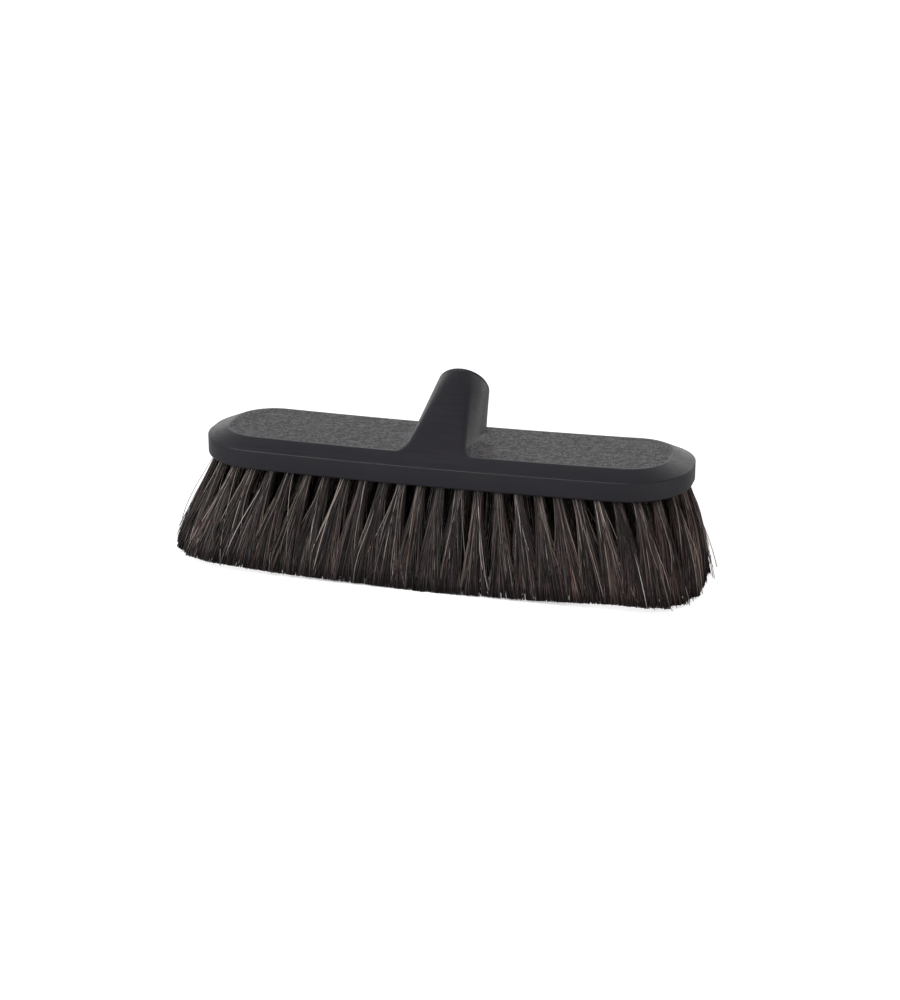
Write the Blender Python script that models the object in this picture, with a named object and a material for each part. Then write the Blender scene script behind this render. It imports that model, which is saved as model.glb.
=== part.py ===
"""Car wash brush head: a moulded block with a slanted handle socket, and hair tufts set in its underside.

Run it with blender --background --factory-startup --python part.py, or from the text editor.
Lengths are in metres and +Z is up. The long side runs along X, the socket leans towards +Y,
and the origin lies on the plane of the hair tips, under the middle of the block.
"""

import math

import bmesh
import bpy
from mathutils import Vector

# The block: an oblong with a straight side, a sloping shoulder above it and a flat grained top
BLOCK_LENGTH = 0.270
BLOCK_WIDTH = 0.075
BLOCK_CORNER_RADIUS = 0.034
SIDE_HEIGHT = 0.0106
FOOT_CHAMFER = 0.0015
SHOULDER_HEIGHT = 0.0048
SHOULDER_RUN_AT_SIDE = 0.010
SHOULDER_RUN_AT_END = 0.0115
TOP_CORNER_RADIUS = 0.022
END_RISE = 0.0017

# The hair: how far the block's underside is above the tips, and how far the tips stand out past the block
HAIR_REACH = 0.0550
TIP_FLARE_AT_END = 0.015
TIP_FLARE_AT_SIDE = 0.0115
TIP_RISE_AT_END = 0.004
LEVEL_TIPS_SHARE = 0.6

# The handle socket, which narrows from a broad foot on the block's top to a round rim
BORE_MOUTH_RADIUS = 0.0118
BORE_TAPER = 0.0004
BORE_FLOOR = 0.0033
SOCKET_WALL = 0.0026
SOCKET_RIM_SETBACK = 0.0346
SOCKET_RIM_RISE = 0.0204
SOCKET_RIM_CHAMFER = 0.0011
SOCKET_FOOT_HALF_WIDTH = 0.0192
SOCKET_FRONT_HALF_WIDTH = 0.0170
SOCKET_FRONT_CORNER_RADIUS = 0.0026
FILLET_HEIGHT = 0.0030
FRONT_FILLET_RUN = 0.0060
SIDE_FILLET_RUN = 0.0090
REAR_FILLET_RUN = 0.0010
SIDE_FILLET_SHARE = 0.4
SOCKET_SINK = 0.003
REAR_SQUARENESS = 2.8

# How far round the rim, from its crown, the socket's flat front and then its front corners run up
FRONT_SWING = math.radians(15)
CORNER_SWING = math.radians(30)

# The outer ring of tufts, each in a hole of its own
RIM_TUFTS = 56
RIM_TUFT_MARGIN = 0.007
TUFT_ROOT_RADIUS = 0.00265
TUFT_ROOT_LENGTH = 0.0072
SEAT_CLEARANCE = 0.0003
STRANDS_PER_RIM_TUFT = 5
RIM_SPREAD_ALONG = 0.0042
RIM_SPREAD_ACROSS = 0.0055

# The inner rows of tufts, each row on the slice of the block that it is set in
INNER_ROW_COUNTS = (18, 17, 18)
INNER_ROW_NAMES = ("front", "middle", "rear")
INNER_ROW_END_MARGIN = 0.016
SLICE_WIDTH = 0.008
SLICE_THICKNESS = 0.004
INNER_SPREAD_ALONG = 0.0045
INNER_SPREAD_ACROSS = 0.0060

# The strands: their gap where they leave the root, and their width and place on the way down
STRAND_ROOT_GAP = 0.0005
STRAND_MID_WIDTH_SHARE = 1.45
STRAND_TIP_WIDTH_SHARE = 1.25
FALL_AT_MID_SHARE = 0.5
FLARE_AT_MID_SHARE = 0.62

# How finely the round forms are drawn, and how far a cutter runs past what it cuts
CORNER_STEPS = 7
SIDE_STEPS = 8
SOCKET_SIDES = 96
FILLET_STEPS = 4
BORE_SIDES = 40
HOLE_SIDES = 10
CUT_OVERRUN = 0.002

# Heights that the sizes above lead to
UNDERSIDE_Z = HAIR_REACH
SHOULDER_Z = UNDERSIDE_Z + SIDE_HEIGHT
TOP_Z = SHOULDER_Z + SHOULDER_HEIGHT
TOP_HALF_WIDTH = BLOCK_WIDTH / 2 - SHOULDER_RUN_AT_SIDE
TOP_HALF_LENGTH = BLOCK_LENGTH / 2 - SHOULDER_RUN_AT_END

# The ring on which the rim tufts stand, and how much further out the tips are than the roots
RING_HALF_LENGTH = BLOCK_LENGTH / 2 - RIM_TUFT_MARGIN
RING_HALF_WIDTH = BLOCK_WIDTH / 2 - RIM_TUFT_MARGIN
RING_CORNER_RADIUS = BLOCK_CORNER_RADIUS - RIM_TUFT_MARGIN
FLARE_X = (BLOCK_LENGTH / 2 + TIP_FLARE_AT_END - RIM_SPREAD_ACROSS) / RING_HALF_LENGTH
FLARE_Y = (BLOCK_WIDTH / 2 + TIP_FLARE_AT_SIDE - RIM_SPREAD_ACROSS) / RING_HALF_WIDTH

# The socket leans so that its front wall, from the front edge of the block's top to the rim, is even
SOCKET_RIM_RADIUS = BORE_MOUTH_RADIUS + SOCKET_WALL
SOCKET_RUN = SOCKET_RIM_SETBACK + TOP_HALF_WIDTH
SOCKET_TILT = (
    math.atan2(SOCKET_RIM_RISE, SOCKET_RUN)
    + math.asin(SOCKET_RIM_RADIUS / math.hypot(SOCKET_RIM_RISE, SOCKET_RUN))
)

# The socket's axis points out of its mouth, and its crown is the upward side of the rim
SOCKET_AXIS = Vector((0, math.cos(SOCKET_TILT), math.sin(SOCKET_TILT)))
SOCKET_CROWN = Vector((0, -math.sin(SOCKET_TILT), math.cos(SOCKET_TILT)))
SOCKET_RIM_CENTRE = Vector((0, SOCKET_RIM_SETBACK, TOP_Z + SOCKET_RIM_RISE))

# The bore is blind: a floor is left between the low side of its end and the grooves of the inner rows
BORE_END_RADIUS = BORE_MOUTH_RADIUS - BORE_TAPER
BORE_LOW_Z = UNDERSIDE_Z + SLICE_THICKNESS + SEAT_CLEARANCE + BORE_FLOOR
BORE_DEPTH = (
    SOCKET_RIM_CENTRE.z - BORE_END_RADIUS * math.cos(SOCKET_TILT) - BORE_LOW_Z
) / math.sin(SOCKET_TILT)

# The two materials, and the angle from which an edge is drawn sharp
PLASTIC_COLOUR = (0.028, 0.028, 0.031, 1)
PLASTIC_ROUGHNESS = 0.5
HAIR_COLOUR = (0.035, 0.024, 0.020, 1)
HAIR_ROUGHNESS = 0.7
SHARP_ANGLE = math.radians(35)


def clear_scene():
    for obj in list(bpy.data.objects):
        bpy.data.objects.remove(obj, do_unlink=True)


def make_material(name, colour, roughness):
    material = bpy.data.materials.new(name)
    material.use_nodes = True
    shader = material.node_tree.nodes["Principled BSDF"]
    shader.inputs["Base Color"].default_value = colour
    shader.inputs["Roughness"].default_value = roughness
    shader.inputs["Metallic"].default_value = 0
    material.diffuse_color = colour
    return material


def add_object(name, bm, material=None):
    """Makes an object of a bmesh. One with no material is a cutter or a guide."""
    bmesh.ops.recalc_face_normals(bm, faces=bm.faces)
    mesh = bpy.data.meshes.new(name)
    bm.to_mesh(mesh)
    bm.free()
    obj = bpy.data.objects.new(name, mesh)
    bpy.context.scene.collection.objects.link(obj)
    if material is None:
        obj.hide_render = True
        obj.display_type = "WIRE"
    else:
        mesh.materials.append(material)
        mesh.shade_smooth()
        mesh.set_sharp_from_angle(angle=SHARP_ANGLE)
    return obj


def add_boolean(obj, operation, other):
    modifier = obj.modifiers.new(f"{operation.lower()}_{other.name}", "BOOLEAN")
    modifier.operation = operation
    modifier.solver = "EXACT"
    modifier.object = other


def bow(bm):
    """Lifts the block's ends a little, and the hair with them, while the tips stay on their plane."""
    for vertex in bm.verts:
        held = min(1, max(0, vertex.co.z / UNDERSIDE_Z))
        vertex.co.z += END_RISE * held * (vertex.co.x / (BLOCK_LENGTH / 2)) ** 2


def oblong(half_length, half_width, corner_radius):
    """The points of a rounded oblong, from its +X end round by +Y, with none on the line Y = 0."""
    radius = min(corner_radius, half_length, half_width)
    centre_x = half_length - radius
    centre_y = half_width - radius
    corner = [math.pi / 2 * step / CORNER_STEPS for step in range(CORNER_STEPS + 1)]
    near = [(centre_x + radius * math.cos(a), centre_y + radius * math.sin(a)) for a in corner]
    side = [(centre_x * (1 - 2 * step / SIDE_STEPS), half_width) for step in range(1, SIDE_STEPS)]
    far = [(-x, y) for x, y in reversed(near)]
    rear = near + side + far
    return rear + [(x, -y) for x, y in reversed(rear)]


def add_ring(bm, points):
    return [bm.verts.new(point) for point in points]


def join_rings(bm, lower, upper):
    count = len(lower)
    for i in range(count):
        j = (i + 1) % count
        bm.faces.new((lower[i], lower[j], upper[j], upper[i]))


def close_across(bm, ring):
    """Closes a ring from oblong() with strips from one long side to the other, which can follow the bow."""
    last = len(ring) - 1
    for i in range(len(ring) // 2 - 1):
        bm.faces.new((ring[i], ring[i + 1], ring[last - i - 1], ring[last - i]))


def make_block_body(material):
    levels = (
        (BLOCK_LENGTH / 2 - FOOT_CHAMFER, BLOCK_WIDTH / 2 - FOOT_CHAMFER,
         BLOCK_CORNER_RADIUS - FOOT_CHAMFER, UNDERSIDE_Z),
        (BLOCK_LENGTH / 2, BLOCK_WIDTH / 2, BLOCK_CORNER_RADIUS, UNDERSIDE_Z + FOOT_CHAMFER),
        (BLOCK_LENGTH / 2, BLOCK_WIDTH / 2, BLOCK_CORNER_RADIUS, SHOULDER_Z),
        (TOP_HALF_LENGTH, TOP_HALF_WIDTH, TOP_CORNER_RADIUS, TOP_Z),
    )
    bm = bmesh.new()
    rings = []
    for half_length, half_width, corner_radius, z in levels:
        outline = oblong(half_length, half_width, corner_radius)
        rings.append(add_ring(bm, [(x, y, z) for x, y in outline]))
    for lower, upper in zip(rings, rings[1:]):
        join_rings(bm, lower, upper)
    close_across(bm, rings[0])
    close_across(bm, rings[-1])
    bow(bm)
    return add_object("brush_block", bm, material)


def power_curve(value, squareness):
    return math.copysign(abs(value) ** (2 / squareness), value)


def fillet_run(angle):
    """How far the fillet at the socket's foot spreads: most at the sides, little in front and behind."""
    if math.sin(angle) <= 0:
        fade = max(0, 1 + math.sin(angle) / SIDE_FILLET_SHARE) ** 2
        return REAR_FILLET_RUN + (SIDE_FILLET_RUN - REAR_FILLET_RUN) * fade
    swing = abs(angle - math.pi / 2)
    back_share = max(0, (swing - CORNER_SWING) / (math.pi / 2 - CORNER_SWING))
    return FRONT_FILLET_RUN + (SIDE_FILLET_RUN - FRONT_FILLET_RUN) * math.sin(back_share * math.pi / 2)


def socket_foot_point(angle, spread_share, z):
    """A point of the outline on which the socket stands: flat with tight corners in front, round behind."""
    spread = spread_share * fillet_run(angle)
    if math.sin(angle) <= 0:
        x = (SOCKET_FOOT_HALF_WIDTH + spread) * power_curve(math.cos(angle), REAR_SQUARENESS)
        return Vector((x, -TOP_HALF_WIDTH * power_curve(math.sin(angle), REAR_SQUARENESS), z))
    corner_y = SOCKET_FRONT_CORNER_RADIUS - TOP_HALF_WIDTH
    swing = abs(angle - math.pi / 2)
    if swing < CORNER_SWING:
        corner_x = SOCKET_FRONT_HALF_WIDTH + spread - SOCKET_FRONT_CORNER_RADIUS
        turn = math.pi / 2 * max(0, swing - FRONT_SWING) / (CORNER_SWING - FRONT_SWING)
        x = corner_x * min(1, swing / FRONT_SWING) + SOCKET_FRONT_CORNER_RADIUS * math.sin(turn)
        y = corner_y - SOCKET_FRONT_CORNER_RADIUS * math.cos(turn)
    else:
        back_share = (swing - CORNER_SWING) / (math.pi / 2 - CORNER_SWING)
        widening = (SOCKET_FOOT_HALF_WIDTH - SOCKET_FRONT_HALF_WIDTH) * math.sin(back_share * math.pi / 2)
        x = SOCKET_FRONT_HALF_WIDTH + widening + spread
        y = corner_y * (1 - back_share)
    return Vector((math.copysign(x, math.cos(angle)), y, z))


def socket_point(angle, radius, along=0):
    """A point at a radius round the socket's axis, and at a distance along it from the rim."""
    across = Vector((math.cos(angle), 0, 0))
    return SOCKET_RIM_CENTRE + radius * (across + math.sin(angle) * SOCKET_CROWN) + along * SOCKET_AXIS


def make_socket_body():
    """The solid that the block's handle socket is bored from, with a fillet where its sides meet the top."""
    turns = [math.pi / 2 * step / FILLET_STEPS for step in range(FILLET_STEPS + 1)]
    levels = [(FILLET_HEIGHT / SOCKET_RIM_RISE * (1 - math.cos(turn)), 1 - math.sin(turn)) for turn in turns]
    angles = [2 * math.pi * side / SOCKET_SIDES for side in range(SOCKET_SIDES)]
    rim = [socket_point(a, SOCKET_RIM_RADIUS) for a in angles]
    sunk_ring = [socket_foot_point(a, 1, TOP_Z - SOCKET_SINK) for a in angles]
    crown = socket_point(math.pi / 2, SOCKET_RIM_RADIUS)
    sunk_run = SOCKET_SINK * (crown.y + TOP_HALF_WIDTH) / (crown.z - TOP_Z)
    for point in sunk_ring:
        point.y += sunk_run * min(0, point.y / TOP_HALF_WIDTH)
    bm = bmesh.new()
    rings = [add_ring(bm, sunk_ring)]
    for height_share, spread_share in levels:
        foot = [socket_foot_point(a, spread_share, TOP_Z) for a in angles]
        rings.append(add_ring(bm, [low.lerp(high, height_share) for low, high in zip(foot, rim)]))
    foot = [socket_foot_point(a, 0, TOP_Z) for a in angles]
    chamfer_foot = [high + SOCKET_RIM_CHAMFER * (low - high).normalized() for low, high in zip(foot, rim)]
    rings.append(add_ring(bm, chamfer_foot))
    rings.append(add_ring(bm, [socket_point(a, SOCKET_RIM_RADIUS - SOCKET_RIM_CHAMFER) for a in angles]))
    for lower, upper in zip(rings, rings[1:]):
        join_rings(bm, lower, upper)
    bm.faces.new(rings[0])
    bm.faces.new(rings[-1])
    return add_object("socket_body", bm)


def make_bore_cutter():
    """A slightly tapering pin that runs past the rim, so that a handle can be driven in."""
    ends = (
        (-BORE_DEPTH, BORE_END_RADIUS),
        (CUT_OVERRUN, BORE_MOUTH_RADIUS + BORE_TAPER * CUT_OVERRUN / BORE_DEPTH),
    )
    angles = [2 * math.pi * side / BORE_SIDES for side in range(BORE_SIDES)]
    bm = bmesh.new()
    rings = [add_ring(bm, [socket_point(a, radius, along) for a in angles]) for along, radius in ends]
    join_rings(bm, *rings)
    bm.faces.new(rings[0])
    bm.faces.new(rings[1])
    return add_object("socket_bore_cutter", bm)


def ring_places(count):
    """Evenly spaced places on the tuft ring, each with the direction that the ring takes there."""
    quarter = RING_CORNER_RADIUS * math.pi / 2
    straight_x = 2 * (RING_HALF_LENGTH - RING_CORNER_RADIUS)
    straight_y = 2 * (RING_HALF_WIDTH - RING_CORNER_RADIUS)
    perimeter = 2 * (straight_x + straight_y) + 4 * quarter
    corner_signs = ((1, 1), (-1, 1), (-1, -1), (1, -1))
    places = []
    for index in range(count):
        travelled = perimeter * (index + 0.5) / count - straight_y / 2
        travelled %= perimeter
        for corner, (sign_x, sign_y) in enumerate(corner_signs):
            centre = Vector((sign_x * straight_x / 2, sign_y * straight_y / 2))
            straight = straight_x if corner % 2 == 0 else straight_y
            turned = corner * math.pi / 2
            if travelled < quarter:
                angle = turned + travelled / RING_CORNER_RADIUS
                outward = Vector((math.cos(angle), math.sin(angle)))
                places.append((centre + RING_CORNER_RADIUS * outward, outward.orthogonal()))
                break
            travelled -= quarter
            if travelled < straight:
                outward = Vector((math.cos(turned + math.pi / 2), math.sin(turned + math.pi / 2)))
                along = outward.orthogonal()
                places.append((centre + RING_CORNER_RADIUS * outward + travelled * along, along))
                break
            travelled -= straight
    return places


def add_column(bm, place, along, radius, sides, bottom_z, top_z, fan_below=False):
    """A straight column. With fan_below its lower end is a fan of triangles, and they are returned."""
    across = along.orthogonal()
    angles = [2 * math.pi * side / sides for side in range(sides)]
    outline = [place + radius * (math.cos(a) * across + math.sin(a) * along) for a in angles]
    lower = add_ring(bm, [(point.x, point.y, bottom_z) for point in outline])
    upper = add_ring(bm, [(point.x, point.y, top_z) for point in outline])
    join_rings(bm, lower, upper)
    bm.faces.new(upper)
    if not fan_below:
        bm.faces.new(lower)
        return []
    hub = bm.verts.new((place.x, place.y, bottom_z))
    return [bm.faces.new((lower[i], lower[(i + 1) % sides], hub)) for i in range(sides)]


def make_hole_cutter(places):
    bm = bmesh.new()
    radius = (TUFT_ROOT_RADIUS + SEAT_CLEARANCE) / math.cos(math.pi / HOLE_SIDES)
    for place, along in places:
        add_column(
            bm, place, along, radius, HOLE_SIDES,
            UNDERSIDE_Z - CUT_OVERRUN, UNDERSIDE_Z + TUFT_ROOT_LENGTH + SEAT_CLEARANCE)
    bow(bm)
    return add_object("tuft_hole_cutter", bm)


def tip_rise(tip_x):
    """How far a tip stays above the plane of the tips, which only those near the ends do."""
    end_x = RING_HALF_LENGTH * FLARE_X
    level_x = LEVEL_TIPS_SHARE * end_x
    return TIP_RISE_AT_END * (max(0, abs(tip_x) - level_x) / (end_x - level_x)) ** 2


def part_sectors(bm, sectors, root, half_length, half_width):
    """Draws each sector of an oblong pad in from its edges, and the lot together to a tuft's width."""
    edge_gap = STRAND_ROOT_GAP / 2 * (half_length + half_width) / (2 * TUFT_ROOT_RADIUS)
    bmesh.ops.inset_individual(bm, faces=sectors, thickness=edge_gap, use_even_offset=True)
    for corner in {corner for sector in sectors for corner in sector.verts}:
        corner.co.x = root.x + (corner.co.x - root.x) * TUFT_ROOT_RADIUS / half_length
        corner.co.y = root.y + (corner.co.y - root.y) * TUFT_ROOT_RADIUS / half_width


def grow_strands(bm, sectors, root, along, spread_along, spread_across, bends):
    """Draws a three-sided strand down from each sector of a tuft's root to its tip.

    Every strand keeps its side of the tuft, and the flare moves all of them outwards alike, so none cross.
    """
    across = along.orthogonal()
    tip_centre = Vector((root.x * FLARE_X, root.y * FLARE_Y))
    fall = UNDERSIDE_Z - tip_rise(tip_centre.x)
    for sector in sectors:
        start = sector.calc_center_median()
        lean = (start.xy - root).normalized()
        tip = tip_centre + spread_along * lean.dot(along) * along + spread_across * lean.dot(across) * across
        corners = [corner.co.copy() for corner in sector.verts]
        face = sector
        for fall_share, flare_share, width_share in bends:
            face = bmesh.ops.extrude_discrete_faces(bm, faces=[face])["faces"][0]
            centre = start.xy.lerp(tip, flare_share)
            for vertex, corner in zip(face.verts, corners):
                vertex.co.xy = centre + width_share * (corner - start).xy
                vertex.co.z = UNDERSIDE_Z - fall_share * fall


def make_rim_tuft(name, place, along, material):
    bm = bmesh.new()
    sectors = add_column(
        bm, place, along, TUFT_ROOT_RADIUS, STRANDS_PER_RIM_TUFT, UNDERSIDE_Z,
        UNDERSIDE_Z + TUFT_ROOT_LENGTH, fan_below=True)
    bends = (
        (FALL_AT_MID_SHARE, FLARE_AT_MID_SHARE, STRAND_MID_WIDTH_SHARE),
        (1, 1, STRAND_TIP_WIDTH_SHARE),
    )
    part_sectors(bm, sectors, place, TUFT_ROOT_RADIUS, TUFT_ROOT_RADIUS)
    grow_strands(bm, sectors, place, along, RIM_SPREAD_ALONG, RIM_SPREAD_ACROSS, bends)
    bow(bm)
    return add_object(name, bm, material)


def inner_row_stations(count):
    """The X of the seams between the tufts of an inner row, from one end of its slice to the other."""
    half_length = RING_HALF_LENGTH - INNER_ROW_END_MARGIN
    return [half_length * (2 * seam / count - 1) for seam in range(count + 1)]


def add_slice(bm, stations, y, half_width, bottom_z, top_z, end_clearance):
    """A straight slice of the block's underside. Returns its lower faces, one between each two stations."""
    xs = [stations[0] - end_clearance, *stations[1:-1], stations[-1] + end_clearance]
    corners = ((-half_width, bottom_z), (half_width, bottom_z), (half_width, top_z), (-half_width, top_z))
    sections = [add_ring(bm, [(x, y + side, z) for side, z in corners]) for x in xs]
    pads = []
    for near, far in zip(sections, sections[1:]):
        join_rings(bm, near, far)
        pads.append(bm.faces.get((near[0], near[1], far[1], far[0])))
    bm.faces.new(sections[0])
    bm.faces.new(sections[-1])
    return pads


def make_inner_row(name, count, y, material):
    stations = inner_row_stations(count)
    bm = bmesh.new()
    pads = add_slice(
        bm, stations, y, SLICE_WIDTH / 2, UNDERSIDE_Z, UNDERSIDE_Z + SLICE_THICKNESS, end_clearance=0)
    bends = ((1, 1, STRAND_TIP_WIDTH_SHARE),)
    pad_half_length = (stations[1] - stations[0]) / 2
    for pad in pads:
        root = pad.calc_center_median().xy
        sectors = bmesh.ops.poke(bm, faces=[pad])["faces"]
        part_sectors(bm, sectors, root, pad_half_length, SLICE_WIDTH / 2)
        grow_strands(bm, sectors, root, Vector((1, 0)), INNER_SPREAD_ALONG, INNER_SPREAD_ACROSS, bends)
    bow(bm)
    return add_object(name, bm, material)


def make_groove_cutter(name, count, y):
    bm = bmesh.new()
    add_slice(
        bm, inner_row_stations(count), y, SLICE_WIDTH / 2 + SEAT_CLEARANCE, UNDERSIDE_Z - CUT_OVERRUN,
        UNDERSIDE_Z + SLICE_THICKNESS + SEAT_CLEARANCE, end_clearance=SEAT_CLEARANCE)
    bow(bm)
    return add_object(name, bm)


def main():
    clear_scene()
    plastic = make_material("black_plastic", PLASTIC_COLOUR, PLASTIC_ROUGHNESS)
    hair = make_material("horsehair", HAIR_COLOUR, HAIR_ROUGHNESS)
    block = make_block_body(plastic)
    places = ring_places(RIM_TUFTS)
    add_boolean(block, "UNION", make_socket_body())
    add_boolean(block, "DIFFERENCE", make_bore_cutter())
    add_boolean(block, "DIFFERENCE", make_hole_cutter(places))
    for index, (place, along) in enumerate(places, start=1):
        make_rim_tuft(f"rim_tuft_{index:02d}", place, along, hair)
    row_pitch = 2 * RING_HALF_WIDTH / (len(INNER_ROW_COUNTS) + 1)
    for row, (label, count) in enumerate(zip(INNER_ROW_NAMES, INNER_ROW_COUNTS), start=1):
        y = row * row_pitch - RING_HALF_WIDTH
        add_boolean(block, "DIFFERENCE", make_groove_cutter(f"groove_cutter_{label}", count, y))
        make_inner_row(f"inner_tuft_row_{label}", count, y, hair)


main()
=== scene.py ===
"""A car wash brush: a moulded block with a slanted handle socket, and hair in its underside.

Lengths are in metres and +Z is up. The long side runs along X and the socket leans towards +Y.
A SHARE is a part of the length or number that it goes with, a FACTOR multiplies it, and a RANGE
or SPAN gives its two limits.
"""

import math
from types import SimpleNamespace

import bmesh
import bpy
import numpy as np
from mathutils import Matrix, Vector


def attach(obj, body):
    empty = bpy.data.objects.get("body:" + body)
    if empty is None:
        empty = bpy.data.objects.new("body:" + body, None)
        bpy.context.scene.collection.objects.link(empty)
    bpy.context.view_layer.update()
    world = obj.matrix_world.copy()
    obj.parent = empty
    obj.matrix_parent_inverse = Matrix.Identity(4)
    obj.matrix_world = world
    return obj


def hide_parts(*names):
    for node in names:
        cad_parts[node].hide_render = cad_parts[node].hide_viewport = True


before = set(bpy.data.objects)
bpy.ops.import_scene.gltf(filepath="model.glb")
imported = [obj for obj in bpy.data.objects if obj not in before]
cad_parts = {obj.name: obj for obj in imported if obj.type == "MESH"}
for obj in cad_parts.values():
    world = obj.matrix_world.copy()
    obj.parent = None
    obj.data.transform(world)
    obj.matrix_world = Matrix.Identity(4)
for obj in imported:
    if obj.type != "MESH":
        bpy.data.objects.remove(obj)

# The block: an oblong with a straight side, a sloping shoulder above it and a flat grained top
BLOCK_LENGTH = 0.270
BLOCK_WIDTH = 0.075
BLOCK_CORNER_RADIUS = 0.034
SIDE_HEIGHT = 0.0106
FOOT_ROUND = 0.0013
SHOULDER_HEIGHT = 0.0048
SHOULDER_RUN_AT_SIDE = 0.010
SHOULDER_RUN_AT_END = 0.0115
TOP_CORNER_RADIUS = 0.022
END_RISE = 0.0017
RIDGE_ROUND = 0.0004
TOP_EDGE_ROUND = 0.0006
TOP_BORDER = 0.0005

# The handle socket, which narrows from a broad foot on the block's top to a round rim
BORE_MOUTH_RADIUS = 0.0118
BORE_END_RADIUS = 0.0114
BORE_DEPTH = 0.0358
BORE_MOUTH_CHAMFER = 0.0007
BORE_END_CHAMFER = 0.001
SOCKET_WALL = 0.0026
SOCKET_RIM_SETBACK = 0.0346
SOCKET_RIM_RISE = 0.0204
SOCKET_FOOT_HALF_WIDTH = 0.0192
SOCKET_FRONT_HALF_WIDTH = 0.0170
SOCKET_FRONT_CORNER_RADIUS = 0.0026
SOCKET_SINK = 0.003
FILLET_HEIGHT = 0.0030
FRONT_FILLET_RUN = 0.0060
SIDE_FILLET_RUN = 0.0090
REAR_FILLET_RUN = 0.0010
SIDE_FILLET_SHARE = 0.4
REAR_SQUARENESS = 2.8
RIM_ROUND = 0.0010

# The shallow line that runs round the socket below its rim: (how far below the rim, how deep)
RIM_LINE = (
    (0.0026, 0), (0.0023, 0.00005), (0.0021, 0.00016),
    (0.00195, 0.00020), (0.0018, 0.00016), (0.0016, 0.00003),
)

# How far round the rim, from its crown, the socket's flat front and then its front corners run up
FRONT_SWING = math.radians(15)
CORNER_SWING = math.radians(30)

# Where the socket's wall has the top's grain: on the fillet, but not on the front
GRAINED_FILLET_STEPS = 9
FRONT_GRAIN_SHARE = 0.06

# The tufts: where they stand, and how far their tips stand out past the block
HAIR_REACH = 0.0550
RIM_TUFTS = 56
RIM_TUFT_MARGIN = 0.007
HOLE_RADIUS = 0.00295
HOLE_DEPTH = 0.0075
INNER_ROWS = (("front", 25), ("middle", 26), ("rear", 25))
INNER_ROW_END_MARGIN = 0.014
INNER_ROW_STAGGER = 0.0034
TIP_FLARE_AT_END = 0.015
TIP_FLARE_AT_SIDE = 0.0115
RIM_OUTER_SPREAD = 0.0055

# The level of the tips along the brush, from its left end to its right end
TIP_RISE_PLACES = (-0.130, -0.080, 0, 0.060, 0.105, 0.122, 0.145)
TIP_RISES = (0.0046, 0.0018, 0, 0.0012, 0.0036, 0.0034, 0.0008)
TIP_CLEARANCE = 0.0001
TIP_SCATTER = 0.0001

# How a tuft's tips spread along the ring or row and across it
RIM_REACH_ALONG = 0.0072
RIM_ACROSS_RANGE = (-0.0075, RIM_OUTER_SPREAD)
INNER_REACH_ALONG = 0.0062
INNER_ACROSS_RANGE = (-0.007, 0.007)

# The hairs of a tuft
HAIRS_PER_RIM_TUFT = 310
HAIRS_PER_INNER_TUFT = 175
HAIR_RADIUS_RANGE = (0.00013, 0.00020)
HAIR_WIDENING_SHARE = 0.1
HAIR_ROOT_SPREAD = 0.0023
HAIR_ROOT_DEPTH = 0.0015
SHORT_HAIR_SHARE = 0.02
SHORT_HAIR_RANGE = (0.001, 0.012)

# Hairs cling together in locks: how far locks, and the hairs in a lock, stray from even places
LOCKS = 14
LOCK_SCATTER = 0.0012
LOCK_MIXING = 0.0024
LOCK_TIP_ALONG_SPREAD = 0.0017
LOCK_TIP_ACROSS_SPREAD = 0.0028
TIP_FOLLOWS_ROOT_SHARE = 0.5

# Stray hairs cross the others on a tuft's outer face, and in the right half they lean to the right
STRAY_SHARE = 0.08
STRAY_LEAN = 0.004
STRAY_ALONG_SPREAD = 0.005
STRAY_DEPTH = 0.003
STRAY_ROOT_SHARE = 0.3

# Pale stray hairs, which lie on the surface of a rim tuft
SURFACE_HAIRS_PER_RIM_TUFT = 5
SURFACE_ROOT_SHARES = (0.3, 1)
WHITE_SURFACE_SHARE = 0.12

# Edge hairs close the lower edge of a rim tuft: evenly spaced, thicker at their tips, and kept to
# the dark tones as painted shade along that edge
EDGE_HAIR_SHARE = 0.30
EDGE_ACROSS_SPREAD = 0.0005
EDGE_ALONG_SPREAD = 0.0008
EDGE_WIDENING_SHARE = 0.5

# The line of a hair: powers of its run outward and of its spread, its lean along the brush, waves
BEND_POWER = 1.55
BEND_POWER_BY_PLACE = 0.62
BEND_POWER_BY_DISTANCE = 0.25
SPREAD_POWER = 1.3
HAIR_SWAY = -0.003
RIGHT_DRAW_IN = 0.0042
RIGHT_LEAN = 0.010
RIGHT_LEAN_START_SHARE = 0.15
WAVE_RANGE = (0.0001, 0.0006)
WAVE_TURNS_RANGE = (0.8, 2.2)
WAVE_GROWTH = 2
STRAY_WAVE_FACTOR = 2.5

# The tones of the hair, with their shares: three dark browns, a red one, a pale one and white
PALETTE = np.array((
    (0.018, 0.0142, 0.0148),
    (0.050, 0.0375, 0.0368),
    (0.120, 0.090, 0.084),
    (0.160, 0.082, 0.055),
    (0.310, 0.262, 0.235),
    (0.620, 0.580, 0.550),
))
PALETTE_SHARES = np.array((0.36, 0.30, 0.17, 0.05, 0.09, 0.03))
LAST_DARK_TONE, PALE_TONE, WHITE_TONE = 2, 4, 5
PALE_WIDTH_FACTOR = 1.25
LOCK_LIGHT_RANGE = (0.6, 1.5)
LOCK_TINT_SPREAD = 0.06
HAIR_LIGHT_RANGE = (0.8, 1.25)
# Hair at the right end: a redder tone of its own, and lighter as painted light
RIGHT_END_TINT_AND_PAINTED_LIGHT = (0.30, 0.16, 0.13)
BRIGHTEST = 0.8
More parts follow.
